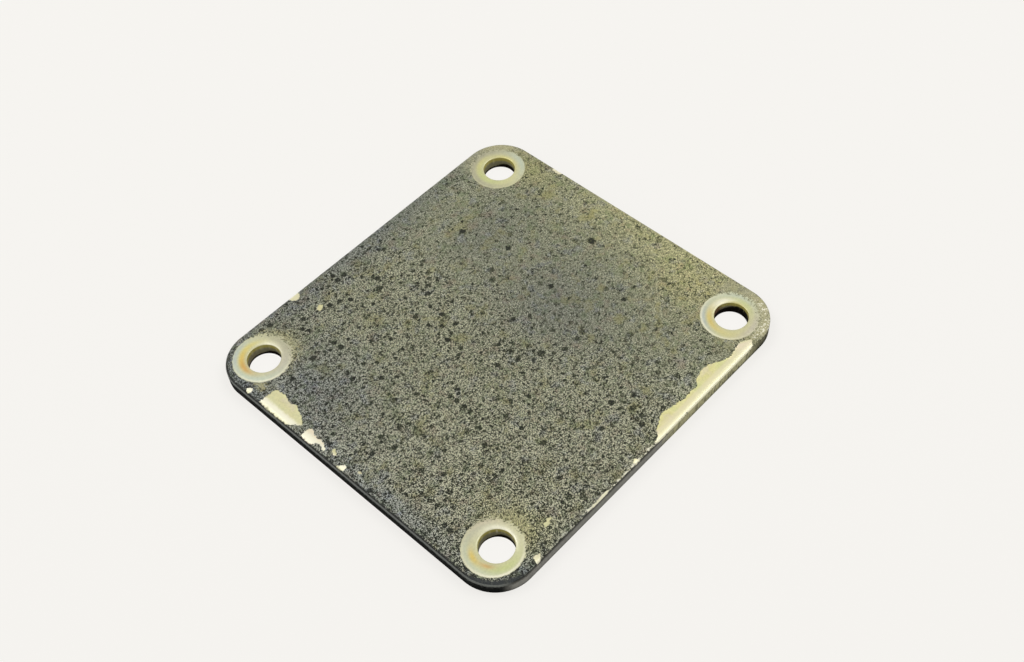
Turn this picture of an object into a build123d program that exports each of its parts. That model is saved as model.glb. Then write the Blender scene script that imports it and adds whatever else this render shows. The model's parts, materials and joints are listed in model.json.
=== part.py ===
from build123d import *
import os

os.makedirs("parts", exist_ok=True)

# Rectangular cover plate, blanked and pierced from one sheet of steel.
# Millimetres. The origin is the centre of the underside, +Z points out of the outer face.

# Bolt pattern
bolt_spacing_x = 90.0
bolt_spacing_y = 83.5
bolt_diameter = 8.0
bolt_clearance = 1.0  # hole diameter over the bolt's

# Sheet and outline
sheet_thickness = 4.0
end_margin = 10.5  # hole centre to the edge, along X
side_margin = 10.25  # hole centre to the edge, along Y
corner_radius = 11.0

# Sheared edge: a rim rolled down by the die, a smooth upright band, then a broken band
rim_roll_width = 1.6
rim_roll_depth = 0.7
hole_roll_width = 1.1
hole_roll_depth = 0.35
break_depth = 1.6
break_lean = 0.14  # how far the broken band leans over its depth

# Sizes that follow
plate_length = bolt_spacing_x + 2 * end_margin
plate_width = bolt_spacing_y + 2 * side_margin
hole_radius = (bolt_diameter + bolt_clearance) / 2
overrun = 1.0  # cutters reach this far past the faces

# Slug that the punch takes out of one hole, upright on the origin
with BuildPart() as punched_slug:
    with BuildSketch(Plane.XZ) as slug_profile:
        with BuildLine() as slug_outline:
            rolled_mouth = EllipticalCenterArc(
                (hole_radius + hole_roll_width, sheet_thickness - hole_roll_depth),
                hole_roll_width,
                hole_roll_depth,
                start_angle=90,
                arc_size=90,
            )
            Polyline(
                rolled_mouth @ 1,
                (hole_radius, break_depth),
                (hole_radius + break_lean, 0),
                (hole_radius + break_lean, -overrun),
                (0, -overrun),
                (0, sheet_thickness + overrun),
                (hole_radius + hole_roll_width, sheet_thickness + overrun),
                rolled_mouth @ 0,
            )
        make_face()
    revolve(axis=Axis.Z)

# Waste above the rolled rim, swept once around the outline of the outer face
with BuildPart() as rim_waste:
    with BuildSketch(Plane.XY.offset(sheet_thickness), mode=Mode.PRIVATE) as outer_outline:
        RectangleRounded(plate_length, plate_width, corner_radius)
    rim_path = outer_outline.sketch.wires()[0]
    across_rim = Plane(origin=rim_path @ 0, x_dir=(1, 0, 0), z_dir=rim_path % 0)
    with BuildSketch(across_rim) as waste_profile:
        with BuildLine() as waste_outline:
            rolled_rim = EllipticalCenterArc(
                (rim_roll_width, -rim_roll_depth),
                rim_roll_width,
                rim_roll_depth,
                start_angle=90,
                arc_size=90,
            )
            Polyline(
                rolled_rim @ 1,
                (-overrun, -rim_roll_depth),
                (-overrun, overrun),
                (rim_roll_width, overrun),
                rolled_rim @ 0,
            )
        make_face()
    sweep(path=rim_path)

with BuildPart() as cover_plate:
    # Smooth band, upright at the full outline
    with BuildSketch(Plane.XY.offset(break_depth)) as full_outline:
        RectangleRounded(plate_length, plate_width, corner_radius)
    extrude(amount=sheet_thickness - break_depth)

    # Broken band, leaning in to a slightly smaller underside
    with BuildSketch() as underside_outline:
        RectangleRounded(
            plate_length - 2 * break_lean,
            plate_width - 2 * break_lean,
            corner_radius - break_lean,
        )
    loft([underside_outline.sketch.face(), full_outline.sketch.face()])

    # Bolt holes and the rolled rim
    with GridLocations(bolt_spacing_x, bolt_spacing_y, 2, 2):
        add(punched_slug.part, mode=Mode.SUBTRACT)
    add(rim_waste.part, mode=Mode.SUBTRACT)

cover_plate.part.label = "cover_plate"
export_step(cover_plate.part, "parts/cover_plate.step")
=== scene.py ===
import json
import bmesh
import bpy
import numpy as np
from mathutils import Matrix, Vector


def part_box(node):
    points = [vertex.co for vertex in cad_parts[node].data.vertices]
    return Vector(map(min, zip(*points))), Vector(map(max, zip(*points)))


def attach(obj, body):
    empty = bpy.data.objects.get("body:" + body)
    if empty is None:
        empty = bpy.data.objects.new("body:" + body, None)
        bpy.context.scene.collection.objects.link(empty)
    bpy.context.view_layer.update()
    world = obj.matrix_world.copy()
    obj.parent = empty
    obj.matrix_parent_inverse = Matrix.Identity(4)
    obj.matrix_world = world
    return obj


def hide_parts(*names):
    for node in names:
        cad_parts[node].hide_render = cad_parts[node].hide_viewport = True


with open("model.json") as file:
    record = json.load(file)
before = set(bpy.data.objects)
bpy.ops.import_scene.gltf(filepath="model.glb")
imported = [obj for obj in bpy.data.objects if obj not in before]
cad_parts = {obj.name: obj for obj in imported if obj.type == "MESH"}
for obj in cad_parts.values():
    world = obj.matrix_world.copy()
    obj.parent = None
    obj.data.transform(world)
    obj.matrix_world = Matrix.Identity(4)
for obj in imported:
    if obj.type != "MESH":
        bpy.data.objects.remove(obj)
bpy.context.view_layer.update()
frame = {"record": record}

# Rectangular cover plate, blanked from steel sheet, zinc plated, painted and worn.
# Sizes in the dictionaries are millimetres, on the frame's own axes.
millimetre = 0.001


def srgb(red, green, blue):
    # a screen colour of 0 to 255 as the linear colour that the shaders take
    channels = np.array([red, green, blue]) / 255
    linear = np.where(channels < 0.04045, channels / 12.92, ((channels + 0.055) / 1.055) ** 2.4)
    return (*linear.tolist(), 1.0)


def smoothStep(value, low, high):
    # rise from 0 at low to 1 at high, three squares less two cubes of the part between them
    t = np.clip((value - low) / (high - low), 0, 1)
    return t * t * (3 - 2 * t)


# Camera, at the photograph's angle
camera = {
    "place": (-144.5, -157.71, 282.33),
    "aim": (3.79, -1.49, 4.0),
    "roll": -4.66,  # degrees, clockwise
    "lens": 47.19,
    "sensor": 36.0,
}


def makeCamera():
    # the view runs from place to aim, level with the horizon but for its roll about that line
    place, aim = Vector(camera["place"]), Vector(camera["aim"])
    forward = (aim - place).normalized()
    level = forward.cross(Vector((0, 0, 1))).normalized()
    right = Matrix.Rotation(np.radians(-camera["roll"]), 3, forward) @ level
    turned = Matrix((right, right.cross(forward), -forward)).transposed()
    data = bpy.data.cameras.new("camera")
    data.lens, data.sensor_width = camera["lens"], camera["sensor"]
    data.clip_start = 0.01
    made = bpy.data.objects.new("camera", data)
    made.matrix_world = Matrix.Translation(place * millimetre) @ turned.to_4x4()
    bpy.context.collection.objects.link(made)
    bpy.context.scene.camera = made


# The plate's form, with the sheared edges of the frame
low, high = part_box("cover_plate")
boltHoles = next(m for m in frame["record"]["mounts"] if m["name"] == "bolt_holes")["dims"]
plate = {
    "halfLength": float(high.x) / millimetre,
    "halfWidth": float(high.y) / millimetre,
    "thickness": float(high.z) / millimetre,
    "cornerRadius": 11.0,
    "holeX": boltHoles["spacing_x_mm"] / 2,
    "holeY": boltHoles["spacing_y_mm"] / 2,
    "holeRadius": boltHoles["hole_r_mm"],
    "rimRollWidth": 1.6,
    "rimRollDepth": 0.7,
    "holeRollWidth": 1.1,
    "holeRollDepth": 0.35,
    "breakDepth": 1.6,
    "breakLean": 0.03,
    "step": 0.5,  # spacing of the face's grid
    "bandWidth": 3.4,  # finer band inside the outline
    "bandSteps": 7,
    "cellReach": 9.5,  # how far a corner cell reaches inwards from its hole
    "arcSteps": 28,
    "rollSteps": 9,
    "wallSteps": 6,
    "cellSteps": 20,
    "undersideTint": 0.9,
    "paintedAbove": 1.0,  # chips, prints and tints belong to the face above this height
    "outside": 50.0,  # reach of a point that lies in no chip, print or blot
    "sharpAngle": 40.0,  # degrees
}
holeCentre = np.array([plate["holeX"], plate["holeY"]])
cornerSigns = [(1, 1), (-1, 1), (1, -1), (-1, -1)]
slack = 1e-9  # for telling which points of a row lie past a line
weldSteps = 5000  # to the millimetre

# Where bolts and washers kept the paint off. Each print has its centre and radius, the side where its edge
# is soft as (bearing, softness), how far up the hole's wall its dark foot reaches (partly the broken band,
# partly painted shade), how rusty that wall is, and its films as (bearing, spread, distance, width, film,
# share), bearings and spreads in degrees. Films in the highlight colour are painted highlights on the hole
# rims and print edges
washerPrints = [
    {
        "at": (-46.0, -41.6), "radius": 7.75, "soft": (10, 0.6), "soot": 0.3, "rust": 0.0,
        "films": [
            (90, 60, 6.6, 1.5, "dusk", 0.6), (12, 62, 5.4, 1.0, "shine", 1.0),
            (250, 50, 6.0, 1.2, "green", 0.85), (170, 70, 6.7, 0.7, "mint", 0.5),
            (158, 24, 5.3, 0.75, "amber", 0.95), (205, 20, 4.9, 0.55, "orange", 0.6),
            (235, 80, 7.4, 0.35, "shine", 0.9), (60, 40, 7.3, 0.8, "rose", 0.4),
        ],
    },
    {
        "at": (44.6, -41.5), "radius": 7.8, "soft": (-20, 1.0), "soot": 1.6, "rust": 0.9,
        "films": [
            (215, 80, 6.4, 1.3, "straw", 0.75), (140, 50, 5.4, 0.8, "amber", 0.8),
            (135, 48, 6.9, 0.7, "slate", 0.85), (20, 55, 7.2, 1.1, "mint", 0.6),
            (272, 48, 6.8, 1.2, "lilac", 0.65), (0, 45, 5.8, 0.7, "green", 0.7),
            (58, 36, 5.3, 0.8, "shine", 1.0), (5, 40, 4.9, 0.4, "straw", 0.9),
            (160, 80, 7.45, 0.3, "shine", 0.7),
        ],
    },
    {
        "at": (44.7, 41.95), "radius": 7.85, "soft": (70, 0.9), "soot": 0.4, "rust": 0.0,
        "films": [
            (90, 100, 6.9, 1.3, "dusk", 0.6), (255, 50, 6.2, 1.4, "cream", 0.4),
            (170, 62, 5.3, 1.0, "green", 0.9), (170, 80, 7.0, 0.8, "dusk", 0.7),
            (335, 48, 7.0, 1.0, "mint", 0.7), (85, 62, 7.2, 1.3, "dusk", 0.6),
            (5, 60, 4.9, 0.6, "straw", 0.9), (110, 40, 5.6, 0.8, "straw", 0.6),
        ],
    },
    {
        "at": (-45.35, 42.15), "radius": 7.85, "soft": (-5, 0.9), "soot": 0.4, "rust": 0.2,
        "films": [
            (300, 60, 6.3, 1.8, "lilac", 0.6), (0, 42, 6.7, 1.4, "dusk", 0.7),
            (215, 58, 6.8, 1.0, "mint", 0.8), (135, 60, 7.0, 0.8, "mint", 0.6),
            (125, 40, 7.2, 0.7, "slate", 0.7), (30, 45, 5.0, 0.9, "shine", 0.6),
            (90, 45, 5.5, 0.8, "straw", 0.9), (135, 45, 5.4, 0.8, "amber", 0.95),
            (168, 32, 5.2, 0.7, "orange", 0.7), (230, 70, 7.45, 0.3, "shine", 0.7),
        ],
    },
]

# How far a print's looks reach from its centre
printLooks = {
    "films": (12.0, 9.0),  # its films fade in between these distances
    "softening": (-1.0, 7.0),  # its edge softens between these distances towards the soft side
    "softest": 14.0,  # and no further out than this
}

# Outlines of the paint lost along the edges, as points on the face
chips = {
    "leftLong": [
        (-55.0, 32.1), (-52.2, 32.0), (-50.3, 31.9), (-49.3, 31.2), (-49.2, 28.2), (-49.9, 26.2),
        (-49.8, 24.7), (-49.1, 23.8), (-50.2, 22.3), (-50.6, 20.8), (-51.5, 19.5), (-52.4, 17.9),
        (-53.0, 18.7), (-53.6, 20.0), (-54.7, 21.2), (-55.2, 23.0), (-55.3, 28.0),
    ],
    "leftShort": [
        (-54.7, 16.4), (-51.6, 16.2), (-51.5, 15.3), (-52.2, 14.0), (-52.7, 12.9), (-52.2, 11.0),
        (-52.5, 10.0), (-53.8, 8.3), (-54.5, 8.7), (-53.5, 10.2), (-53.3, 11.2), (-54.2, 12.0),
        (-55.2, 12.3), (-55.1, 14.2),
    ],
    "leftFleck": [(-53.6, 5.5), (-52.8, 5.1), (-51.9, 6.4), (-51.8, 7.1), (-52.6, 7.1)],
    "leftSpot": [(-55.1, 3.5), (-54.4, 2.4), (-53.2, 1.6), (-53.7, 0.6), (-54.8, 0.7), (-55.3, 1.6)],
    "leftCorner": [
        (-55.0, 37.3), (-54.3, 37.7), (-53.6, 37.2), (-53.2, 36.3), (-54.4, 35.9), (-55.0, 36.5),
    ],
    "frontLong": [
        (1.4, -51.5), (3.3, -50.8), (4.3, -49.7), (6.2, -48.6), (8.0, -47.6), (9.8, -47.3),
        (12.0, -48.0), (14.3, -48.2), (16.2, -48.9), (18.2, -48.6), (21.6, -48.8), (22.6, -47.6),
        (25.3, -46.8), (27.1, -46.5), (29.1, -47.1), (31.6, -48.7), (34.5, -49.7), (36.6, -49.0),
        (39.4, -48.6), (41.3, -49.5), (42.2, -50.4), (41.0, -51.6), (38.0, -52.3), (16.0, -52.3),
        (14.2, -51.9), (3.0, -52.2), (1.6, -51.9),
    ],
    "frontSpot": [(-6.8, -51.2), (-6.2, -50.7), (-5.4, -50.9), (-4.9, -51.5), (-4.6, -52.0), (-6.6, -52.1)],
    "frontFleck": [(-9.0, -51.7), (-8.1, -51.5), (-7.9, -51.9), (-8.8, -52.0)],
    "frontStrip": [
        (-23.0, -51.9), (-21.8, -51.4), (-19.5, -51.5), (-17.6, -51.4), (-15.9, -51.7),
        (-17.5, -52.0), (-21.0, -51.9),
    ],
    "frontCorner": [
        (-41.9, -50.6), (-41.2, -50.2), (-40.3, -50.4), (-39.8, -50.8), (-40.4, -51.7),
        (-42.4, -52.2),
    ],
    "frontPatch": [
        (-34.3, -46.9), (-33.4, -45.9), (-32.7, -46.3), (-31.9, -45.6), (-30.8, -46.6),
        (-32.0, -46.9), (-32.6, -47.5),
    ],
    "backEdge": [(-27.4, 52.0), (-27.4, 50.4), (-26.2, 49.6), (-25.0, 50.1), (-24.4, 50.9), (-24.2, 52.0)],
    "leftLowFleck": [(-52.9, -2.8), (-52.4, -3.3), (-51.9, -2.6), (-52.3, -2.2)],
    "backFleck": [(-25.2, 42.8), (-24.3, 43.8), (-23.4, 44.0), (-22.9, 43.1), (-23.6, 42.3), (-24.8, 42.3)],
    "rightRim": [(54.6, 30.0), (54.2, 28.0), (54.7, 26.4), (55.5, 26.6), (55.5, 29.8)],
}

relief = {
    "paint": 0.07,  # thickness of the paint, lost in a chip
    "print": 0.05,  # and under a washer
    "ragged": 0.08,  # unevenness of a chip's edge
    "raggedWave": 1.3,
    "ripple": 0.015,  # slow unevenness of the sheet
    "rippleWave": 26.0,
    "rippleLevel": 2.2,  # keeps the ripple below the sheet's full thickness
    "breakSway": 0.25,  # how the line between the two bands sways
    "breakWave": 6.0,
    "shear": 0.012,  # upright marks on the smooth band
    "shearWave": 0.9,
    "broken": 0.05,  # pits of the broken band
    "brokenWave": 1.4,
    "brokenSquash": 1.6,  # the pits are this much lower than they are wide
    "deepest": 0.12,
    "rimFade": (0.0, 1.2),  # inwards from the outline, where chips, prints and ripple come to full depth
    "holeFade": (0.0, 1.0),  # and outwards from a hole
    "chipEdge": (-0.15, 0.2),  # slopes across the outlines of a chip and a print
    "printEdge": (-0.25, 0.25),
    "breakEdge": (-0.1, 0.3),  # down from the line between the bands, where the pits take over
    "footFade": (0.0, 0.25),  # up from a wall's foot, where the marks come to full depth
    "topFade": (0.0, 0.3),  # and down from its top
}
seeds = {"sheet": 3, "chips": 5, "outline": 11, "holes": 31, "nextHole": 7}


def outlineInset(x, y):
    # distance inwards from the rounded rectangle: its radius, less the distance outside the rectangle of the
    # corners' centres, or plus the depth inside that
    radius = plate["cornerRadius"]
    overX = np.abs(x) - (plate["halfLength"] - radius)
    overY = np.abs(y) - (plate["halfWidth"] - radius)
    outside = np.hypot(np.maximum(overX, 0), np.maximum(overY, 0))
    return radius - outside - np.minimum(np.maximum(overX, overY), 0)


def holeDistance(x, y):
    # distance from the centre of the nearest hole
    return np.hypot(np.abs(x) - plate["holeX"], np.abs(y) - plate["holeY"])


def rollDrop(gap, width, depth):
    # quarter ellipse: depth times one less the root of one less the square of the part of the width covered
    part = np.clip(1 - gap / width, 0, 1)
    return depth * (1 - np.sqrt(1 - part**2))


def reachInside(x, y, outline):
    # distance to the nearest side of a closed outline, positive where a ray crosses it an odd number of times
    start = np.array(outline, float)
    end = np.roll(start, -1, axis=0)
    side = end - start
    px, py = x[..., None] - start[:, 0], y[..., None] - start[:, 1]
    along = np.clip((px * side[:, 0] + py * side[:, 1]) / (side**2).sum(1), 0, 1)
    gap = np.hypot(px - along * side[:, 0], py - along * side[:, 1]).min(-1)
    above = (start[:, 1] > y[..., None]) != (end[:, 1] > y[..., None])
    rise = np.where(side[:, 1] == 0, 1, side[:, 1])
    crossed = above & (px < side[:, 0] * py / rise)
    return np.where(crossed.sum(-1) % 2 == 1, gap, -gap)


def chipReach(x, y):
    # the deepest of all chips at each point, positive inside one
    reach = np.full(x.shape, -plate["outside"])
    for outline in chips.values():
        reach = np.maximum(reach, reachInside(x, y, outline))
    return reach


def printPlace(x, y):
    # offset from the nearest washer print's centre, and how far inside that print a point lies
    reach = np.full(x.shape, -np.inf)
    offset = np.zeros((*x.shape, 2))
    for washer in washerPrints:
        dx, dy = x - washer["at"][0], y - washer["at"][1]
        inside = washer["radius"] - np.hypot(dx, dy)
        nearer = inside > reach
        reach = np.where(nearer, inside, reach)
        offset = np.where(nearer[..., None], np.stack([dx, dy], -1), offset)
    return offset, reach


def filmColour(x, y):
    # plain zinc under each film in turn. A film's cover is its share times exp of minus the squared bearing
    # and distance from its middle, each in units of its spread
    colour = np.tile(zinc["plain"][:3], (*x.shape, 1))
    for washer in washerPrints:
        dx, dy = x - washer["at"][0], y - washer["at"][1]
        distance, bearing = np.hypot(dx, dy), np.degrees(np.arctan2(dy, dx))
        here = smoothStep(distance, *printLooks["films"])
        for middle, spread, radius, width, film, share in washer["films"]:
            turned = (bearing - middle + 180) % 360 - 180
            cover = share * here * np.exp(-((turned / spread) ** 2) - ((distance - radius) / width) ** 2)
            colour += cover[..., None] * (np.array(zinc[film][:3]) - colour)
    return colour


def nearestPrint(x, y, key):
    # one value of the washer print on whose corner a point lies
    value = np.zeros(x.shape)
    for washer in washerPrints:
        at = washer["at"]
        value = np.where((np.sign(x) == np.sign(at[0])) & (np.sign(y) == np.sign(at[1])), washer[key], value)
    return value


def softReach(x, y):
    # softness of the nearest print's edge, rising with the distance from its middle along the soft bearing
    value = np.zeros(x.shape)
    for washer in washerPrints:
        bearing, softness = np.radians(washer["soft"][0]), washer["soft"][1]
        dx, dy = x - washer["at"][0], y - washer["at"][1]
        towards = smoothStep(dx * np.cos(bearing) + dy * np.sin(bearing), *printLooks["softening"])
        value = np.where(np.hypot(dx, dy) < printLooks["softest"], softness * towards, value)
    return value


def ripple(x, y, seed, wave, count=24):
    # sum of cosines of about one wavelength, each along its own seeded direction, over the root of half
    # their count
    rng = np.random.default_rng(seed)
    turns = rng.uniform(0, np.pi, count)
    lengths = wave * rng.uniform(0.7, 1.6, count)
    phases = rng.uniform(0, 2 * np.pi, count)
    total = 0
    for turn, length, phase in zip(turns, lengths, phases):
        total = total + np.cos(2 * np.pi * (x * np.cos(turn) + y * np.sin(turn)) / length + phase)
    return total / np.sqrt(count / 2)


def faceHeight(x, y):
    # the thickness, less the rolls at the rims, less the deeper of chip and print, plus the sheet's ripple,
    # the last two fading out towards the rims
    height = plate["thickness"] - rollDrop(outlineInset(x, y), plate["rimRollWidth"], plate["rimRollDepth"])
    holeGap = holeDistance(x, y) - plate["holeRadius"]
    height = height - rollDrop(holeGap, plate["holeRollWidth"], plate["holeRollDepth"])
    inset = smoothStep(outlineInset(x, y), *relief["rimFade"]) * smoothStep(holeGap, *relief["holeFade"])
    ragged = relief["ragged"] * ripple(x, y, seeds["chips"], relief["raggedWave"])
    bare = smoothStep(chipReach(x, y) + ragged, *relief["chipEdge"])
    reach = printPlace(x, y)[1]
    pressed = smoothStep(reach, *relief["printEdge"]) * relief["print"]
    dropped = np.maximum(bare * relief["paint"], pressed)
    waves = ripple(x, y, seeds["sheet"], relief["rippleWave"]) - relief["rippleLevel"]
    uneven = relief["ripple"] * waves * 0.5
    return height - dropped * inset + uneven * inset


def outlineNodes():
    # points and outward normals once round the outline: a straight side and the quarter circle after it, spun
    # by a quarter turn for each of the four
    radius = plate["cornerRadius"]
    endX, endY = plate["halfLength"] - radius, plate["halfWidth"] - radius
    cellX, cellY = holeCentre - plate["cellReach"]
    points, normals = [], []
    for turn in range(4):
        half, stop, cell = plate["halfLength"], endY, cellY
        if turn % 2 == 1:
            half, stop, cell = plate["halfWidth"], endX, cellX
        stations = sideStations(stop, cell)
        side = np.stack([np.full(stations.shape, half), stations], -1)
        angle = np.linspace(0, np.pi / 2, plate["arcSteps"] + 1)[1:-1]
        arc = np.stack([half - radius + radius * np.cos(angle), stop + radius * np.sin(angle)], -1)
        sideNormal = np.tile([1.0, 0.0], (len(stations), 1))
        arcNormal = np.stack([np.cos(angle), np.sin(angle)], -1)
        cosine, sine = [(1, 0), (0, 1), (-1, 0), (0, -1)][turn]
        spin = np.array([[cosine, sine], [-sine, cosine]])
        points += [side @ spin, arc @ spin]
        normals += [sideNormal @ spin, arcNormal @ spin]
    points, normals = np.concatenate(points), np.concatenate(normals)
    return np.vstack([points, points[:1]]), np.vstack([normals, normals[:1]])


def sideStations(stop, cell):
    # places along one straight side, with a node at each corner cell's edge
    outer = max(2, round((stop - cell) / plate["step"]))
    middle = round(2 * cell / plate["step"])
    return np.concatenate([
        np.linspace(-stop, -cell, outer + 1)[:-1],
        np.linspace(-cell, cell, middle + 1)[:-1],
        np.linspace(cell, stop, outer + 1),
    ])


def cellSide():
    # number of steps along a corner cell's two inner sides
    side = plate["cellReach"] + plate["halfLength"] - plate["holeX"] - plate["bandWidth"]
    return round(side / plate["step"])


def cellOutline(inset):
    # closed boundary of the first corner's cell: side, quarter turn, side, then the two inner sides
    radius = plate["cornerRadius"] - inset
    farX, farY = plate["halfLength"] - inset, plate["halfWidth"] - inset
    endX, endY = farX - radius, farY - radius
    cellX, cellY = holeCentre - plate["cellReach"]
    right = sideStations(endY, cellY)
    right = right[right >= cellY - slack]
    top = sideStations(endX, cellX)
    top = top[top >= cellX - slack][::-1]
    angle = np.linspace(0, np.pi / 2, plate["arcSteps"] + 1)
    inner = np.linspace(0, 1, cellSide() + 1)
    return np.concatenate([
        np.stack([np.full(right.shape, farX), right], -1)[:-1],
        np.stack([endX + radius * np.cos(angle), endY + radius * np.sin(angle)], -1)[:-1],
        np.stack([top, np.full(top.shape, farY)], -1)[:-1],
        np.stack([np.full(inner.shape, cellX), farY + (cellY - farY) * inner], -1)[:-1],
        np.stack([cellX + (farX - cellX) * inner, np.full(inner.shape, cellY)], -1),
    ])


def holeRays():
    # unit directions from the first hole's centre to the boundary of its cell, and the distances
    rays = cellOutline(plate["bandWidth"]) - holeCentre
    distance = np.hypot(rays[:, 0], rays[:, 1])
    return rays / distance[:, None], distance


def rollNodes(width, steps):
    # width times one less the cosine of even angles, so that the nodes follow a quarter ellipse
    return width * (1 - np.cos(np.linspace(0, np.pi / 2, steps + 1)))


def lift(plan, height):
    # plan points with a height each
    return np.concatenate([plan, np.broadcast_to(height, plan.shape[:-1])[..., None]], -1)


def facePatches():
    # the outer face: a band inside the outline, four corner cells, four strips and the middle. A cell's point
    # is its hole's centre plus a radius times a ray, the radii running from the wall to the cell's boundary
    points, normals = outlineNodes()
    insets = np.concatenate([
        rollNodes(plate["rimRollWidth"], plate["rollSteps"]),
        np.linspace(plate["rimRollWidth"], plate["bandWidth"], plate["bandSteps"] + 1)[1:],
    ])
    plans = [points[:, None] - insets[None, :, None] * normals[:, None]]
    direction, distance = holeRays()
    rolled = plate["holeRadius"] + rollNodes(plate["holeRollWidth"], plate["rollSteps"])
    share = np.linspace(0, 1, plate["cellSteps"] + 1)[1:]
    outward = rolled[-1] + (distance[:, None] - rolled[-1]) * share
    radii = np.concatenate([np.tile(rolled, (len(distance), 1)), outward], 1)
    cell = holeCentre + radii[..., None] * direction[:, None]
    cellX, cellY = holeCentre - plate["cellReach"]
    acrossX = sideStations(plate["halfLength"] - plate["cornerRadius"], cellX)
    acrossX = acrossX[np.abs(acrossX) <= cellX + slack]
    acrossY = sideStations(plate["halfWidth"] - plate["cornerRadius"], cellY)
    acrossY = acrossY[np.abs(acrossY) <= cellY + slack]
    stripX = np.linspace(cellX, plate["halfLength"] - plate["bandWidth"], cellSide() + 1)
    stripY = np.linspace(cellY, plate["halfWidth"] - plate["bandWidth"], cellSide() + 1)
    plans.append(np.stack(np.meshgrid(acrossX, acrossY, indexing="ij"), -1))
    for sign in (-1, 1):
        plans.append(np.stack(np.meshgrid(acrossX, sign * stripY, indexing="ij"), -1))
        plans.append(np.stack(np.meshgrid(sign * stripX, acrossY, indexing="ij"), -1))
        plans.append(cell * (sign, 1))
        plans.append(cell * (sign, -1))
    return [lift(plan, faceHeight(plan[..., 0], plan[..., 1])) for plan in plans]


def wallHeights(rollDepth):
    # heights down a sheared wall: the smooth band, then the broken band
    smooth = np.linspace(plate["thickness"] - rollDepth, plate["breakDepth"], plate["wallSteps"] + 1)
    return np.concatenate([smooth, np.linspace(plate["breakDepth"], 0, plate["wallSteps"] + 1)[1:]])


def shearMarks(around, heights, seed):
    # how far a sheared wall lies back: half of one plus a ripple, times the depth of the upright marks on the
    # smooth band and of the pits on the broken one, fading out at both ends
    level = 0 * around
    breakLine = plate["breakDepth"] + relief["breakSway"] * ripple(around, level, seed, relief["breakWave"])
    broken = smoothStep(breakLine - heights, *relief["breakEdge"])
    marks = relief["shear"] * (1 + ripple(around, level, seed + 1, relief["shearWave"])) * 0.5
    squashed = heights * relief["brokenSquash"]
    pits = relief["broken"] * (1 + ripple(around, squashed, seed + 2, relief["brokenWave"])) * 0.5
    foot = smoothStep(heights, *relief["footFade"])
    ends = foot * smoothStep(heights[..., :1] - heights, *relief["topFade"])
    return np.clip(marks * (1 - broken) + pits * broken, 0, relief["deepest"]) * ends


def wallPatches():
    # the outline's wall and the four hole walls: each a path carried down the heights, set back by its marks
    # and by its lean, which grows evenly down the broken band
    points, normals = outlineNodes()
    length = np.concatenate([[0], np.cumsum(np.hypot(*np.diff(points, axis=0).T))])
    heights = np.tile(wallHeights(plate["rimRollDepth"]), (len(points), 1))
    lean = plate["breakLean"] * np.clip(1 - heights / plate["breakDepth"], 0, 1)
    around = np.tile(length[:, None], (1, heights.shape[1]))
    back = lean + shearMarks(around, heights, seeds["outline"])
    back[-1] = back[0]
    plan = points[:, None] - back[..., None] * normals[:, None]
    patches = [lift(plan, heights)]
    direction = holeRays()[0]
    angle = np.unwrap(np.arctan2(direction[:, 1], direction[:, 0]))
    heights = np.tile(wallHeights(plate["holeRollDepth"]), (len(angle), 1))
    lean = plate["breakLean"] * np.clip(1 - heights / plate["breakDepth"], 0, 1)
    for number, signs in enumerate(cornerSigns):
        arc = np.tile((angle * plate["holeRadius"])[:, None], (1, heights.shape[1]))
        back = shearMarks(arc, heights, seeds["holes"] + seeds["nextHole"] * number)
        back[-1] = back[0]
        plan = holeCentre + (plate["holeRadius"] + lean + back)[..., None] * direction[:, None]
        patches.append(lift(plan * signs, heights))
    return patches


def undersidePatches():
    # flat rings from each hole's foot to its corner cell, and the one face left between them
    outer = cellOutline(plate["breakLean"])
    foot = holeCentre + (plate["holeRadius"] + plate["breakLean"]) * holeRays()[0]
    cell = np.stack([foot, outer], 1)
    patches = [lift(cell * signs, 0.0) for signs in cornerSigns]
    points, normals = outlineNodes()
    points = (points - plate["breakLean"] * normals)[:-1]
    cellX, cellY = holeCentre - plate["cellReach"]
    inner = outer[-2 * cellSide() - 1:]
    straightX = np.abs(points[:, 0]) <= cellX + slack
    straightY = np.abs(points[:, 1]) <= cellY + slack
    right = points[straightY & (points[:, 0] > 0)]
    top = points[straightX & (points[:, 1] > 0)]
    right, top = right[np.argsort(right[:, 1])], top[np.argsort(-top[:, 0])]
    loop = [
        right[:-1], (inner[::-1])[:-1], top[:-1], (inner * (-1, 1))[:-1],
        -right[:-1], (-inner[::-1])[:-1], -top[:-1], (inner * (1, -1))[:-1],
    ]
    return patches, lift(np.concatenate(loop), 0.0)


def joinPatches(patches, polygons=()):
    # grids and polygons as one list of points and faces, with equal points welded
    points, faces, start = [], [], 0
    for patch in patches:
        rows, columns = patch.shape[:2]
        number = start + np.arange(rows * columns).reshape(rows, columns)
        quads = np.stack([number[:-1, :-1], number[1:, :-1], number[1:, 1:], number[:-1, 1:]], -1)
        faces.append(quads.reshape(-1, 4))
        points.append(patch.reshape(-1, 3))
        start += rows * columns
    quads = np.concatenate(faces)
    rings = []
    for polygon in polygons:
        rings.append(start + np.arange(len(polygon)))
        points.append(polygon)
        start += len(polygon)
    points = np.concatenate(points)
    key = np.round(points * weldSteps).astype(np.int64)
    first, welded = np.unique(key, axis=0, return_index=True, return_inverse=True)[1:]
    welded = welded.reshape(-1)
    return points[first], welded[quads], [welded[ring] for ring in rings]


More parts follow.
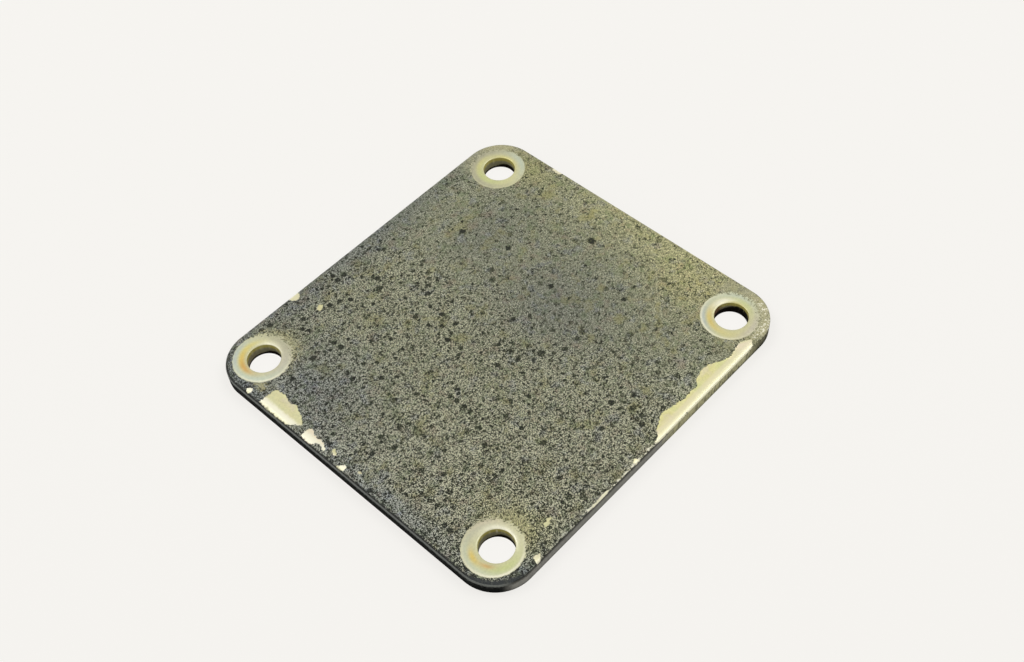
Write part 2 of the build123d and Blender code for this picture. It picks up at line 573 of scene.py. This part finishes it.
def meshObject(name, points, quads, rings):
    # one object at the origin, from points in millimetres
    mesh = bpy.data.meshes.new(name)
    loops = np.concatenate([quads.ravel(), *rings]).astype(np.int32)
    sizes = np.concatenate([np.full(len(quads), 4), [len(ring) for ring in rings]]).astype(np.int32)
    mesh.vertices.add(len(points))
    mesh.vertices.foreach_set("co", (points * millimetre).astype(np.float32).ravel())
    mesh.loops.add(len(loops))
    mesh.loops.foreach_set("vertex_index", loops)
    mesh.polygons.add(len(sizes))
    mesh.polygons.foreach_set("loop_start", (np.cumsum(sizes) - sizes).astype(np.int32))
    mesh.polygons.foreach_set("loop_total", sizes)
    mesh.update(calc_edges=True)
    mesh.validate()
    shell = bmesh.new()
    shell.from_mesh(mesh)
    bmesh.ops.recalc_face_normals(shell, faces=shell.faces)
    openEdges = sum(not edge.is_manifold for edge in shell.edges)
    shell.to_mesh(mesh)
    shell.free()
    print(name, len(points), "points,", len(sizes), "faces,", openEdges, "open edges")
    made = bpy.data.objects.new(name, mesh)
    bpy.context.collection.objects.link(made)
    return made


def storeField(made, name, values):
    # a number or a vector for each point, for the material to read
    kind = "FLOAT" if values.ndim == 1 else "FLOAT_VECTOR"
    field = made.data.attributes.new(name, kind, "POINT")
    field.data.foreach_set("value" if kind == "FLOAT" else "vector", values.astype(np.float32).ravel())


def makePlate():
    # the closed plate, with its looks' zones and colours held at its points
    underside, middle = undersidePatches()
    patches = facePatches() + wallPatches() + underside
    points, quads, rings = joinPatches(patches, [middle])
    made = meshObject("coverPlate", points, quads, rings)
    x, y, z = points.T
    onTop = z > plate["paintedAbove"]
    outside = -plate["outside"]
    offset, reach = printPlace(x, y)
    storeField(made, "chipReach", np.where(onTop, chipReach(x, y), outside))
    storeField(made, "printReach", np.where(onTop, reach, outside))
    storeField(made, "printOffset", lift(offset, np.hypot(offset[:, 0], offset[:, 1])))
    storeField(made, "rubbedShare", np.where(onTop, rubbedShare(x, y), 0.0))
    storeField(made, "blotReach", np.where(onTop, blotReach(x, y), outside))
    storeField(made, "tint", np.where(onTop[:, None], tintAndShadeOf(x, y), plate["undersideTint"]))
    storeField(made, "film", filmColour(x, y))
    storeField(made, "softSide", np.where(onTop, softReach(x, y), 0.0))
    storeField(made, "soot", nearestPrint(x, y, "soot"))
    storeField(made, "rust", nearestPrint(x, y, "rust"))
    storeField(made, "rimInset", outlineInset(x, y))
    storeField(made, "holeGap", holeDistance(x, y) - plate["holeRadius"])
    made.data.polygons.foreach_set("use_smooth", np.ones(len(made.data.polygons), bool))
    made.data.set_sharp_from_angle(angle=np.radians(plate["sharpAngle"]))
    made.data.materials.append(platePaint())
    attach(made, "root")
    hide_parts("cover_plate")
    return made


class Wire:
    # a node's socket that adds, subtracts and multiplies as a number does
    def __init__(self, graph, socket):
        self.graph, self.socket = graph, socket

    def math(self, operation, other=0.0):
        # any other operation on this number and one more
        return self.graph.node("ShaderNodeMath", {"operation": operation}, {0: self, 1: other})

    def orMore(self, other):
        # the larger of the two
        return self.math("MAXIMUM", other)

    def away(self, middle):
        # distance from a middle value, on either side
        return (self - middle).math("ABSOLUTE")

    def __add__(self, other):
        return self.math("ADD", other)

    __radd__ = __add__

    def __sub__(self, other):
        return self.math("SUBTRACT", other)

    def __rsub__(self, other):
        return self.graph.node("ShaderNodeMath", {"operation": "SUBTRACT"}, {0: other, 1: self})

    def __mul__(self, other):
        return self.math("MULTIPLY", other)

    __rmul__ = __mul__


class Graph:
    # the nodes of one material
    def __init__(self, name):
        self.material = bpy.data.materials.new(name)
        self.material.use_nodes = True
        self.tree = self.material.node_tree
        self.tree.nodes.clear()

    def node(self, kind, settings=None, inputs=None, output=0):
        # a node with its settings made first, then its sockets, returned as one of its outputs
        made = self.tree.nodes.new(kind)
        for name, value in (settings or {}).items():
            if name == "stops":
                self.setStops(made.color_ramp, value)
            else:
                setattr(made, name, value)
        for name, value in (inputs or {}).items():
            if isinstance(value, Wire):
                self.tree.links.new(value.socket, made.inputs[name])
            else:
                made.inputs[name].default_value = value
        return Wire(self, made.outputs[output]) if made.outputs else None

    def setStops(self, ramp, stops):
        # each stop is a place from 0 to 1 and a colour
        while len(ramp.elements) < len(stops):
            ramp.elements.new(0.5)
        for element, (place, colour) in zip(ramp.elements, stops):
            element.position, element.color = place, colour

    def field(self, name, output="Fac"):
        # a value that the mesh holds at each point
        return self.node("ShaderNodeAttribute", {"attribute_name": name}, output=output)

    def vector(self, operation, first, inputs):
        # an operation on each of a vector's or a colour's three parts
        return self.node("ShaderNodeVectorMath", {"operation": operation}, {0: first, **inputs})

    def place(self):
        # place on the object, in millimetres
        coordinates = self.node("ShaderNodeTexCoord", output="Object")
        return self.vector("SCALE", coordinates, {"Scale": 1 / millimetre})

    def shift(self, place, x, y):
        # the same pattern, taken elsewhere
        return self.vector("ADD", place, {1: (x, y, 0.0)})

    def stretch(self, place, factors):
        # each of the three parts times its own factor
        return self.vector("MULTIPLY", place, {1: factors})

    def part(self, vector, axis):
        # one of the three parts
        return self.node("ShaderNodeSeparateXYZ", {}, {0: vector}, axis)

    def ease(self, value, start, end):
        # smooth rise from 0 at start to 1 at end, or the other way round
        settings = {"interpolation_type": "SMOOTHSTEP"}
        return self.node("ShaderNodeMapRange", settings, {"Value": value, "From Min": start, "From Max": end})

    def zone(self, value, name):
        # the same over a named zone
        return self.ease(value, *zones[name])

    def noise(self, place, scale, detail=2.0, roughness=0.5, distortion=0.0):
        # smooth noise about 0.5, with scale waves to the millimetre
        inputs = {"Vector": place, "Scale": scale, "Detail": detail, "Roughness": roughness}
        inputs["Distortion"] = distortion
        return self.node("ShaderNodeTexNoise", {"noise_dimensions": "3D"}, inputs)

    def blend(self, factor, first, second):
        # the second colour over the first
        return self.node("ShaderNodeMix", {"data_type": "RGBA"}, {0: factor, 6: first, 7: second}, 2)

    def ramp(self, value, stops):
        # a colour between those of the stops on either side
        return self.node("ShaderNodeValToRGB", {"stops": stops}, {"Fac": value})

    def spots(self, place, scale, smallest, largest, share):
        # uneven spots in a share of the cells, each where the distance to its cell's point, plus a wobble,
        # is less than a radius of its own, in millimetres
        wobble, edge = 1.1, 0.14
        inputs = {"Vector": place, "Scale": scale}
        distance = self.node("ShaderNodeTexVoronoi", {"voronoi_dimensions": "2D"}, inputs, "Distance")
        chance = self.node("ShaderNodeTexVoronoi", {"voronoi_dimensions": "2D"}, inputs, "Color")
        uneven = (self.noise(place, 1.9, 2.0) - 0.5) * (wobble * scale * largest)
        radius = (smallest + self.part(chance, "Y") * (largest - smallest)) * scale
        covered = self.ease(distance + uneven - radius, edge * scale, -edge * scale)
        return covered * self.part(chance, "X").math("LESS_THAN", share)

    def bump(self, height):
        # the normal of a surface raised by a height in millimetres
        return self.node("ShaderNodeBump", {}, {"Strength": 1.0, "Distance": millimetre, "Height": height})

    def shader(self, colour, roughness, specular, inputs):
        # one surface
        inputs = {"Base Color": colour, "Roughness": roughness, "Specular IOR Level": specular, **inputs}
        return self.node("ShaderNodeBsdfPrincipled", {}, inputs)

    def mixed(self, factor, first, second):
        # the second surface over the first
        return self.node("ShaderNodeMixShader", {}, {0: factor, 1: first, 2: second})

    def close(self, shader):
        # the finished material
        self.node("ShaderNodeOutputMaterial", {}, {"Surface": shader})
        return self.material


paint = {
    "grain": 3.3,  # mottling, waves to the millimetre
    "speck": srgb(18, 21, 6),
    "pit": srgb(44, 48, 26),
    "dark": srgb(86, 89, 64),
    "middle": srgb(127, 129, 103),
    "light": srgb(157, 158, 132),
    "dust": srgb(212, 210, 180),
    "blueDark": srgb(50, 55, 60),
    "blue": srgb(112, 116, 116),
    "blueLight": srgb(184, 187, 180),
    "yellow": srgb(150, 146, 88),
    "green": srgb(118, 132, 92),
    "rose": srgb(152, 132, 112),
    "blackEdge": srgb(15, 17, 16),
    # also the painted shade of the front roll's dark arris
    "groove": srgb(24, 26, 23),
    "roll": srgb(62, 66, 67),
    "arris": srgb(124, 127, 122),
    "wallGrey": srgb(143, 142, 135),
    "wallOlive": srgb(180, 177, 138),
    # also painted shade on the front wall's top and foot
    "wallDark": srgb(48, 47, 40),
    "speckDepth": 0.74,  # how far a speck lowers the level
    "roughness": 0.58,
    "specular": 0.35,
    "wallRoughness": 0.7,
    "wallSpecular": 0.03,
}

zinc = {
    "cream": srgb(232, 226, 162),
    "plain": srgb(212, 209, 165),
    "straw": srgb(220, 212, 138),
    "green": srgb(206, 212, 142),
    "mint": srgb(200, 212, 192),
    "slate": srgb(184, 194, 188),
    "ash": srgb(204, 200, 172),
    "lilac": srgb(196, 188, 178),
    "dusk": srgb(180, 176, 148),
    "rose": srgb(226, 210, 188),
    "amber": srgb(226, 200, 106),
    "orange": srgb(214, 156, 70),
    "blush": srgb(242, 226, 204),
    # painted highlight colour of the chips' rolled rims
    "polish": srgb(234, 228, 190),
    # painted highlight colour, for the hole rims, print edges, chip rims, arris dashes and sparks
    "shine": srgb(252, 248, 222),
    "rubbed": srgb(190, 184, 142),
    "wall": srgb(180, 170, 92),
    "wallGrey": srgb(132, 129, 104),
    # dark foot of the hole walls, partly the broken band and partly painted shade
    "wallDeep": srgb(20, 17, 12),
    "rust": srgb(92, 52, 34),
    "roughness": 0.34,
    "specular": 0.45,
    "metallic": 0.18,
}

# Slow patches of other colours in the paint: where their noise is taken, its waves to the millimetre and its
# detail, the noise where a patch starts and is full, and its share there
paintPatches = {
    "yellow": {"shift": (5.0, 43.0), "waves": 0.2, "detail": 4.0, "edge": (0.53, 0.7), "share": 0.55},
    "green": {"shift": (55.0, 21.0), "waves": 0.4, "detail": 3.0, "edge": (0.52, 0.7), "share": 0.5},
    "rose": {"shift": (71.0, 13.0), "waves": 0.3, "detail": 3.0, "edge": (0.54, 0.72), "share": 0.4},
}

# Zones where the paint is rubbed thin and the zinc glints through: centre, size and share
rubbed = [
    ((50.5, 47.0), (5.5, 4.0), 0.85),
    ((52.0, 38.0), (3.5, 6.0), 0.4),
    ((52.6, -46.5), (2.6, 5.0), 0.6),
    ((47.0, -50.4), (5.5, 1.8), 1.0),
    ((38.5, -46.5), (6.0, 3.0), 0.4),
    ((-51.3, 35.4), (1.4, 1.8), 0.95),
    ((-38.5, -40.0), (4.0, 6.5), 0.5),
    ((-38.0, 40.5), (4.0, 6.0), 0.45),
    ((-8.0, -51.6), (15.0, 0.6), 0.2),
    ((-50.7, -50.0), (1.2, 0.8), 0.9),
    ((55.0, -10.0), (0.7, 34.0), 0.4),
    ((-53.5, 20.0), (1.5, 3.0), 0.3),
]


def bell(x, y, middle, size):
    # exp of minus the squared distance from a middle, in sizes along each axis
    return np.exp(-(((x - middle[0]) / size[0]) ** 2 + ((y - middle[1]) / size[1]) ** 2))


def rubbedShare(x, y):
    # the largest of the zones' bells, each times its share
    most = np.zeros(x.shape)
    for middle, size, share in rubbed:
        most = np.maximum(most, share * bell(x, y, middle, size))
    return most


# Slow changes of the paint's colour, partly its own and partly painted light and shade, lighter on the right
# and darker in the middle, at the back and on the left: centre, size and what red, green and blue are
# multiplied by
tintsAndShades = [
    ((-41.0, 25.0), (13.0, 17.0), (0.76, 0.79, 0.93)),
    ((-54.0, 50.0), (6.0, 6.0), (0.5, 0.54, 0.68)),
    ((-49.0, -51.5), (10.0, 4.2), (0.5, 0.55, 0.72)),
    ((-24.0, -52.0), (16.0, 1.5), (0.75, 0.78, 0.88)),
    ((-54.0, 38.0), (2.5, 9.0), (0.6, 0.64, 0.76)),
    ((-53.5, -14.0), (3.0, 28.0), (0.82, 0.86, 1.0)),
    ((18.0, -5.0), (15.0, 17.0), (0.7, 0.71, 0.82)),
    ((24.0, 27.0), (14.0, 9.0), (0.79, 0.8, 0.89)),
    ((-4.0, 52.0), (46.0, 7.0), (0.66, 0.69, 0.87)),
    ((51.5, -48.0), (5.5, 5.5), (1.6, 1.54, 1.36)),
    ((56.0, -12.0), (12.0, 36.0), (1.5, 1.43, 1.14)),
    ((44.0, -28.0), (9.0, 12.0), (1.2, 1.15, 0.98)),
    ((-38.0, -42.0), (5.0, 8.0), (1.15, 1.12, 0.82)),
    ((-37.5, 43.0), (4.0, 6.0), (1.08, 1.06, 0.82)),
    ((50.0, 35.0), (6.0, 8.0), (1.15, 1.1, 0.85)),
]

# The darkest blots of the paint: centre and radius
blots = [
    (-40.1, -49.4, 0.75), (-20.9, -47.4, 0.85), (-21.8, -48.8, 0.7), (-34.6, -7.3, 0.8),
    (-8.9, 4.9, 0.7), (-12.7, -16.2, 0.75), (-9.0, 35.6, 0.9), (-22.6, 24.2, 0.65),
    (3.4, -12.2, 1.0), (6.8, 0.8, 0.8), (21.8, 0.9, 0.8), (41.1, 3.1, 1.1),
    (30.9, -16.9, 0.7), (24.3, 18.9, 0.8), (20.6, 32.8, 0.8), (-34.8, -21.6, 0.9),
]


def tintAndShadeOf(x, y):
    # product of the zones' multipliers, each one plus its difference from one times the zone's bell
    colour = np.ones((*x.shape, 3))
    for middle, size, multiplier in tintsAndShades:
        colour *= 1 + (np.array(multiplier) - 1) * bell(x, y, middle, size)[..., None]
    return colour


def blotReach(x, y):
    # how far inside the nearest blot a point lies
    reach = np.full(x.shape, -plate["outside"])
    for middleX, middleY, radius in blots:
        reach = np.maximum(reach, radius - np.hypot(x - middleX, y - middleY))
    return reach


# Where each zone of the looks starts and where it is full, in millimetres
zones = {
    "calm": (8.0, 36.0),  # the grain of the paint fades to the right
    "near": (10.0, -85.0),  # and is strongest at the front left
    "blue": (-26.0, -66.0),
    "ashen": (0.0, -30.0),
    "left": (-46.0, -50.0),
    "leftWall": (-48.5, -52.0),
    "leftRim": (-50.0, -53.0),
    "nearCorner": (-95.5, -99.5),  # x plus y
    "front": (-50.6, -51.2),
    "dashes": (24.0, 20.0),  # to either side of their middle
    "brightDashes": (-32.0, -25.0),
    "sparks": (-40.0, -45.0),
    "olive": (2.0, 9.0),
    "wornWall": (18.0, 34.0),
    "darkWall": (38.0, 45.0),
    "rosy": (33.0, 39.0),
    "dulled": (30.0, 44.0),
    "offPrint": (8.6, 9.6),  # from a print's centre, as the next two
    "aroundPrint": (11.0, 8.0),
    "besidePrint": (13.5, 9.5),
    "lightThrough": (8.0, 6.0),  # from a hole's centre
    "hole": (0.4, 0.2),  # from a hole's wall
    "face": (0.0, 0.05),  # from any wall
    "top": (1.5, 2.5),  # up from the underside
    "underside": (0.02, 0.0),
}


def paintColour(graph, place, across, along):
    # mottled olive paint. Its level is a tone plus the grain times the zone's strength, less the specks, and
    # a ramp turns the level into colour. Slow patches of blue, yellow, green and rose go over it
    grain = graph.noise(place, paint["grain"], 2.0, 0.65)
    cloud = graph.noise(place, 0.13, 2.0, 0.55)
    calm = graph.zone(across + along * 0.15 + cloud * 24.0, "calm")
    near = graph.zone(across * 1.2 + along * 0.9, "near")
    strength = 4.5 - calm * 2.2 + near * 3.6

    cluster = graph.noise(graph.shift(place, 12.0, 31.0), 0.3, 2.0, 0.6) - 0.5
    fineNoise = graph.noise(graph.shift(place, 3.7, 9.1), 1.5, 2.0, 0.6) + cluster * 0.25
    fine = graph.ease(fineNoise - near * 0.03, 0.425, 0.39) * (0.75 - calm * 0.38 + near * 0.25)
    coarseNoise = graph.noise(graph.shift(place, 23.0, 2.0), 0.95, 4.0, 0.65) + cluster * 0.25
    coarse = graph.ease(coarseNoise, 0.395, 0.37) * (0.9 - calm * 0.2)
    ragged = graph.noise(place, 1.6, 2.0) - 0.5
    blot = graph.ease(graph.field("blotReach") + ragged * 1.6, -0.2, 0.2)
    largeShare = 0.24 + cluster * 1.2 - calm * 0.08
    large = graph.spots(graph.shift(place, 7.0, 3.0), 0.4, 0.3, 0.9, largeShare)
    little = graph.spots(graph.shift(place, 1.0, 17.0), 0.62, 0.22, 0.5, 0.3 + cluster * 1.2)
    dots = large.orMore(little * 0.8) * (0.88 - calm * 0.5 + near * 0.12)
    specks = fine.orMore(coarse).orMore(dots).orMore(blot * 0.75)
    mottle = (grain - 0.5) * strength * (1.0 - specks * 0.45)
    level = 0.585 + near * 0.1 + mottle + (cloud - 0.5) * 0.1 - specks * paint["speckDepth"]

    tones = ["speck", "pit", "dark", "middle", "light", "dust"]
    stops = list(zip([0.02, 0.16, 0.32, 0.52, 0.71, 0.98], [paint[tone] for tone in tones]))
    blueTones = ["speck", "blueDark", "blue", "blueLight"]
    blueStops = list(zip([0.04, 0.28, 0.52, 0.94], [paint[tone] for tone in blueTones]))
    smudges = graph.ease(graph.noise(graph.shift(place, 31.0, 7.0), 0.3, 3.0, 0.6), 0.53, 0.68)
    leftSide = graph.zone(across - along * 0.3, "blue")
    blueShare = smudges * 0.5 + leftSide * 0.35
    colour = graph.blend(blueShare, graph.ramp(level, stops), graph.ramp(level, blueStops))
    lit = graph.ease(level, 0.1, 0.5)
    for name, patch in paintPatches.items():
        waves = graph.noise(graph.shift(place, *patch["shift"]), patch["waves"], patch["detail"], 0.6)
        cover = graph.ease(waves, *patch["edge"]) * lit * patch["share"]
        colour = graph.blend(cover, colour, paint[name])
    # the paint's own tint together with painted light and shade, lighter on the right
    colour = graph.stretch(colour, graph.field("tint", "Color"))
    return colour, level.math("MINIMUM", 0.95).orMore(-0.1)


def zincColour(graph, place, across, offPrint):
    # passivated zinc: the prints' films and the chips' slow clouds of colour, times a grained shade
    drift = graph.noise(place, 0.55, 3.0, 0.6) - 0.5
    clouds = graph.noise(graph.shift(place, 17.0, 3.0), 0.22, 3.0, 0.5, 0.4)
    cloudStops = [(0.36, zinc["green"]), (0.47, zinc["cream"]), (0.56, zinc["straw"]), (0.66, zinc["rose"])]
    chipColour = graph.blend(0.4, zinc["cream"], graph.ramp(clouds, cloudStops))
    chipColour = graph.blend(graph.zone(across, "ashen") * 0.4, chipColour, zinc["ash"])
    colour = graph.blend(offPrint, graph.field("film", "Color"), chipColour)
    grain = graph.noise(place, 2.4, 2.0, 0.6) - 0.5
    return graph.vector("SCALE", colour, {"Scale": 0.97 + grain * 0.36 + drift * 0.14})


def bareColour(graph, place, across, along, inset, ragged, fromCentre):
    # the zinc: rosy bands along the chips, and painted highlights along their rolled rims, broad ones away
    # from the left, pale ones on the left and thin ones outermost
    offPrint = graph.zone(fromCentre, "offPrint")
    onLeft = graph.zone(across, "left")
    colour = zincColour(graph, place, across, offPrint)
    rosy = graph.ease(inset.away(1.9), 0.9, 0.2) * 0.35
    rosy = rosy.orMore(graph.zone(across, "rosy") * 0.7)
    rosy = rosy.orMore(graph.ease(along.away(13.0), 4.5, 2.5) * onLeft * 0.7)
    colour = graph.blend(rosy * offPrint, colour, zinc["blush"])
    # painted highlight: a broad pale band along each chip's rolled rim, away from the left
    polish = graph.ease(inset + ragged * 1.2, 2.9, 0.4) * (1.0 - onLeft)
    colour = graph.blend(polish * offPrint * 0.85, colour, zinc["polish"])
    # painted highlight: a pale band along the left chips' rolled rims
    pale = graph.ease((inset + ragged * 1.6).away(1.7), 1.5, 0.3) * onLeft
    colour = graph.blend(pale * offPrint * 0.9, colour, zinc["shine"])
    # painted highlight: a thin band at the very edge, away from the left
    outermost = graph.ease(inset, 0.85, 0.25) * (1.0 - onLeft)
    return graph.blend(outermost * offPrint * 0.55, colour, zinc["shine"])


def wallColour(graph, height, across, toLeft, streaks):
    # sheared wall: black on the left under a pale arris, grey in front under a dark one of painted shade,
    # olive where the zinc shows, dark again towards the right corner, and painted shade along the foot
    toOlive = graph.zone(across + streaks * 6.0, "olive")
    front = graph.blend(toOlive, paint["wallGrey"], paint["wallOlive"])
    lines = graph.ease(streaks, 0.04, -0.12) * (0.15 + toOlive * 0.45)
    # painted shade: the top of the front wall darker, under the roll
    arris = graph.ease(height + streaks * 1.5, 2.4, 3.0) * (1.0 - toOlive) * 0.75
    torn = across + streaks * 14.0
    worn = graph.zone(across, "wornWall") * 0.35 + graph.ease(torn, 40.0, 47.0) * 0.4
    broken = graph.ease(height + streaks * 2.4, 1.4, 0.6) * (0.1 + worn)
    corner = graph.zone(torn, "darkWall") * 0.8
    # painted shade: darker along the foot, where the wall meets the floor
    foot = graph.ease(height, 0.4, 0.1) * 0.5
    for shade in (lines, arris, broken, corner, foot):
        front = graph.blend(shade, front, paint["wallDark"])
    left = graph.blend(graph.ease(height + streaks, 2.6, 3.0) * 0.85, paint["blackEdge"], paint["arris"])
    return graph.blend(toLeft, front, left)


def holeColour(graph, offset, height, ragged):
    # a hole's wall: zinc that greys downwards, rust on one side and a dark foot, higher on the right, partly
    # the broken band and partly painted shade
    side, up = graph.part(offset, "X"), graph.part(offset, "Y")
    uneven = height + ragged * 0.8
    colour = graph.blend(graph.ease(uneven, 3.0, 2.2), zinc["wall"], zinc["wallGrey"])
    rusty = graph.field("rust") * graph.ease(up - side + ragged * 8.0, 1.0, 4.0)
    colour = graph.blend(rusty, colour, zinc["rust"])
    # the dark foot: partly the broken band, partly painted shade, reaching higher on the right
    soot = graph.field("soot") + graph.ease(side - up * 0.7, -1.0, 5.0) * 0.9
    return graph.blend(graph.ease(uneven - soot, 0.5, -0.1), colour, zinc["wallDeep"])


def wornColour(graph, painted, place, along, inset, glints, share):
    # the paint where it is rubbed: yellowed, with zinc glinting through, and bright sparks at the front
    # right, worn zinc specks painted as highlights
    painted = graph.blend(share * 0.25, painted, paint["yellow"])
    rub = graph.ease(glints + share * 0.22, 0.6, 0.68) * graph.ease(share, 0.04, 0.3)
    painted = graph.blend(rub * 0.7, painted, zinc["rubbed"])
    # sparks: worn zinc specks in the painted highlight colour
    sparks = graph.ease(graph.noise(graph.shift(place, 8.3, 4.9), 1.9, 2.0, 0.6), 0.53, 0.58)
    sparks = sparks * graph.ease(inset, 3.0, 1.6) * graph.ease(share, 0.45, 0.8)
    sparks = sparks * graph.zone(along, "sparks")
    return graph.blend(sparks * 0.9, painted, zinc["shine"])


def rimColour(graph, painted, place, across, along, inset, ragged, toLeft, nearCorner, groove):
    # the rolled rim: a dark groove and a pale arris on the left, dashes of painted highlight and a dark arris
    # of painted shade in front
    inFront = graph.zone(along, "front")
    grooveColour = graph.blend(nearCorner * 0.8, paint["groove"], paint["roll"])
    painted = graph.blend(groove * 0.93, painted, grooveColour)
    arrisLine = graph.ease(inset, 0.22, 0.1) * toLeft
    painted = graph.blend(arrisLine * 0.9, painted, paint["arris"])
    # painted highlight: bright dashes along the front arris
    dashes = graph.ease(graph.noise(graph.stretch(place, (0.9, 1.6, 1.6)), 1.0, 3.0, 0.65), 0.48, 0.53)
    dashes = dashes * graph.ease((inset + ragged * 2.4).away(0.3), 0.42, 0.2) * inFront
    dashes = dashes * graph.zone(across.away(-16.0), "dashes")
    dashes = dashes * (graph.zone(across, "brightDashes") * 0.7 + 0.25)
    painted = graph.blend(dashes, painted, zinc["shine"])
    # painted shade: a dark line along the front roll's lower part
    darkArris = graph.ease(inset + ragged * 0.4, 0.2, 0.1) * inFront
    darkArris = darkArris * graph.ease(across + ragged * 8.0, 5.0, -1.0)
    return graph.blend(darkArris * 0.95, painted, paint["groove"])


def platePaint():
    # the whole plate: paint, bare zinc in chips and washer prints, sheared walls
    graph = Graph("platePaint")
    place = graph.place()
    across, along, height = (graph.part(place, axis) for axis in "XYZ")
    inset = graph.field("rimInset")
    holeGap = graph.field("holeGap")
    offset = graph.field("printOffset", "Vector")
    fromCentre = graph.part(offset, "Z")
    ragged = graph.noise(place, 1.0, 5.0, 0.72) - 0.5
    glints = graph.noise(graph.shift(place, 1.3, 5.9), 2.4, 3.0, 0.6)

    chip = graph.ease(graph.field("chipReach") + ragged * 1.7, -0.05, 0.06)
    openSide = graph.field("softSide")
    printEdge = graph.field("printReach") + ragged * (0.9 + openSide * 2.0) + (glints - 0.5) * openSide * 8.0
    washer = graph.ease(printEdge, -0.1 - openSide * 0.5, 0.12)
    bare = chip.orMore(washer)

    painted, level = paintColour(graph, place, across, along)
    dulled = openSide * graph.zone(across, "dulled") * graph.zone(fromCentre, "besidePrint") * 0.45
    painted = graph.blend(dulled, painted, zinc["dusk"])
    share = graph.field("rubbedShare") + openSide * graph.zone(fromCentre, "aroundPrint") * 0.4
    painted = wornColour(graph, painted, place, along, inset, glints, share)
    toLeft = graph.zone(across + ragged * 1.2, "leftWall")
    nearCorner = graph.zone(across + along, "nearCorner")
    grooveSide = graph.zone(across, "leftRim").orMore(nearCorner)
    groove = graph.ease(inset + ragged * 1.6 - nearCorner * 0.5, 0.85, 0.35) * grooveSide
    painted = rimColour(graph, painted, place, across, along, inset, ragged, toLeft, nearCorner, groove)
    bareMetal = bareColour(graph, place, across, along, inset, ragged, fromCentre)

    rings = (fromCentre * 14.0 + ragged * 4.0).math("SINE") * 0.003 * washer
    bump = graph.bump((level * 0.09 + 0.05) * (1.0 - bare) + ragged * 0.012 + rings)
    paintRoughness = paint["roughness"] + (level - 0.5) * 0.15
    film = graph.shader(painted, paintRoughness, paint["specular"], {"Normal": bump})
    inputs = {"Metallic": zinc["metallic"], "Normal": bump}
    metal = graph.shader(bareMetal, zinc["roughness"], zinc["specular"], inputs)
    face = graph.mixed(bare * (1.0 - groove * 0.9), film, metal)

    streaks = graph.noise(graph.stretch(place, (1.5, 1.5, 0.3)), 1.0, 3.0, 0.65) - 0.5
    outerWall = wallColour(graph, height, across, toLeft, streaks)
    inHole = graph.zone(holeGap, "hole")
    sheared = graph.blend(inHole, outerWall, holeColour(graph, offset, height, ragged))
    inputs = {"Normal": graph.bump(streaks * 0.1)}
    wall = graph.shader(sheared, paint["wallRoughness"], paint["wallSpecular"], inputs)
    onFace = graph.zone(inset, "face") * graph.zone(holeGap, "face")
    flat = graph.zone(height, "top").orMore(graph.zone(height, "underside"))
    return graph.close(graph.mixed(onFace * flat, wall, face))


# Floor, light and air
studio = {
    "floorSize": 16000.0,
    "floorColour": srgb(243, 241, 237),
    "floorRoughness": 0.9,
    "floorSpecular": 0.2,
    "seenColour": srgb(247, 245, 241),
    "seenShare": 0.82,
    "holeLight": 0.15,
    "air": 0.5,
    "softboxes": [
        {"place": (500.0, -210.0, 840.0), "size": 520.0, "power": 3.0},
        {"place": (-210.0, 500.0, 840.0), "size": 520.0, "power": 3.0},
    ],
}


def floorPaint():
    # matt floor, shown to the camera partly at a fixed pale tone, so that only a faint shadow stays, and
    # fainter still near the bolt holes, where the floor shows through
    graph = Graph("floorPaint")
    place = graph.place()
    gapX = graph.part(place, "X").math("ABSOLUTE") - plate["holeX"]
    gapY = graph.part(place, "Y").math("ABSOLUTE") - plate["holeY"]
    fromHole = (gapX * gapX + gapY * gapY).math("SQRT")
    toCamera = graph.node("ShaderNodeLightPath", output="Is Camera Ray")
    seen = toCamera * (studio["seenShare"] + graph.zone(fromHole, "lightThrough") * studio["holeLight"])
    lit = graph.shader(studio["floorColour"], studio["floorRoughness"], studio["floorSpecular"], {})
    flat = graph.node("ShaderNodeEmission", {}, {"Color": studio["seenColour"], "Strength": 1.0})
    return graph.close(graph.mixed(seen, lit, flat))


def makeStudio():
    # a wide floor under the plate, softboxes turned to the origin and an even light from all round
    half = studio["floorSize"] / 2
    corners = np.array([(-half, -half, 0), (half, -half, 0), (half, half, 0), (-half, half, 0)], float)
    mesh = bpy.data.meshes.new("floor")
    mesh.from_pydata((corners * millimetre).tolist(), [], [(0, 1, 2, 3)])
    floor = bpy.data.objects.new("floor", mesh)
    bpy.context.collection.objects.link(floor)
    mesh.materials.append(floorPaint())
    for softbox in studio["softboxes"]:
        data = bpy.data.lights.new("softbox", "AREA")
        data.shape, data.size, data.energy = "SQUARE", softbox["size"] * millimetre, softbox["power"]
        lamp = bpy.data.objects.new("softbox", data)
        lamp.location = Vector(softbox["place"]) * millimetre
        lamp.rotation_euler = (-lamp.location).to_track_quat("-Z", "Y").to_euler()
        bpy.context.collection.objects.link(lamp)
    world = bpy.data.worlds.new("air")
    world.use_nodes = True
    background = world.node_tree.nodes["Background"]
    background.inputs["Color"].default_value = (1.0, 1.0, 1.0, 1.0)
    background.inputs["Strength"].default_value = studio["air"]
    bpy.context.scene.world = world
    bpy.context.scene.view_settings.view_transform = "Standard"


makeCamera()
makeStudio()
print("camera and studio ready")
makePlate()
print("plate ready")
